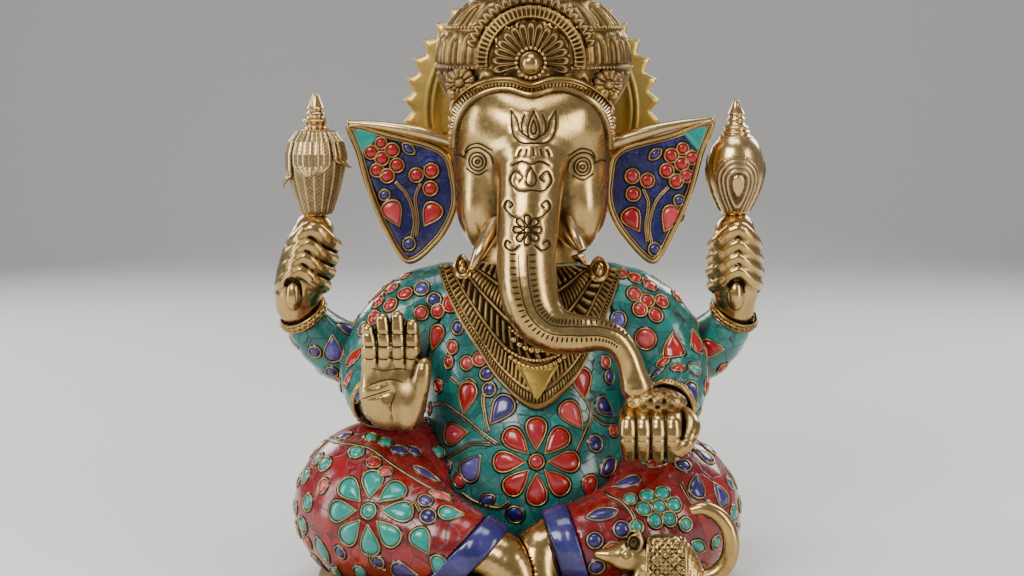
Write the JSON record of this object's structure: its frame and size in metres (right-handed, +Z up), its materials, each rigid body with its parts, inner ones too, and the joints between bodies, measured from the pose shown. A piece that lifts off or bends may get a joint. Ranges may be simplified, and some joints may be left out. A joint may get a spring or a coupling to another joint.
{
  "type": "seated elephant-headed idol",
  "caption": "Seated elephant-headed brass prayer statue with a toothed halo, stone mosaic clothes, raised hands and a small mouse at its feet.",
  "frame": {"origin": "on the flat underside of the base plate, straight below the middle of the torso", "axes": "+Z up through the statue, -Y the way the statue faces, +X towards a viewer's right hand when looking at its face"},
  "size_m": [0.2758, 0.171, 0.33],
  "materials": {
    "brass": "polished with dark recesses",
    "pale_brass": "polished",
    "turquoise_mosaic": "polished chips in dark resin",
    "coral_mosaic": "polished chips in dark resin",
    "coral_stone": "polished",
    "lapis_stone": "polished"
  },
  "bodies": {
    "root": {"ankle_cuff_left": "lapis_stone", "ankle_cuff_right": "lapis_stone", "arm_front_left": "brass", "arm_front_right": "brass", "arm_rear_left": "brass", "arm_rear_right": "brass", "bangle_front_left": "brass", "bangle_front_right": "brass", "bangle_rear_left": "brass", "bangle_rear_right": "brass", "base_plate": "brass", "belly_flower_centre": "coral_stone", "belly_petal_1": "coral_stone", "belly_petal_2": "coral_stone", "belly_petal_3": "coral_stone", "belly_petal_4": "coral_stone", "belly_petal_5": "coral_stone", "belly_petal_6": "coral_stone", "belly_petal_7": "coral_stone", "belly_petal_8": "coral_stone", "bud_left": "brass", "bud_right": "brass", "collar": "brass", "crown": "brass", "crown_arch": "brass", "crown_boss": "brass", "crown_fan": "brass", "crown_finial": "brass", "crown_rosette_left": "brass", "crown_rosette_right": "brass", "ear_casting_left": "brass", "ear_casting_right": "brass", "ear_inlay_left": "lapis_stone", "ear_inlay_right": "lapis_stone", "foot_left": "brass", "foot_right": "brass", "halo": "brass", "halo_screw": "brass", "hand_fist": "brass", "hand_open": "brass", "hand_rear_left": "brass", "hand_rear_right": "brass", "head_casting": "brass", "headband": "brass", "leg_casting_left": "brass", "leg_casting_right": "brass", "leg_mosaic_left": "coral_mosaic", "leg_mosaic_right": "coral_mosaic", "mouse": "brass", "mouse_tail": "brass", "pendant": "brass", "sleeve_front_left": "turquoise_mosaic", "sleeve_front_right": "turquoise_mosaic", "sleeve_rear_left": "turquoise_mosaic", "sleeve_rear_right": "turquoise_mosaic", "sweet": "brass", "torso_casting": "brass", "torso_mosaic": "turquoise_mosaic", "tusk_left": "pale_brass", "tusk_right": "pale_brass"}
  },
  "joints": []
}
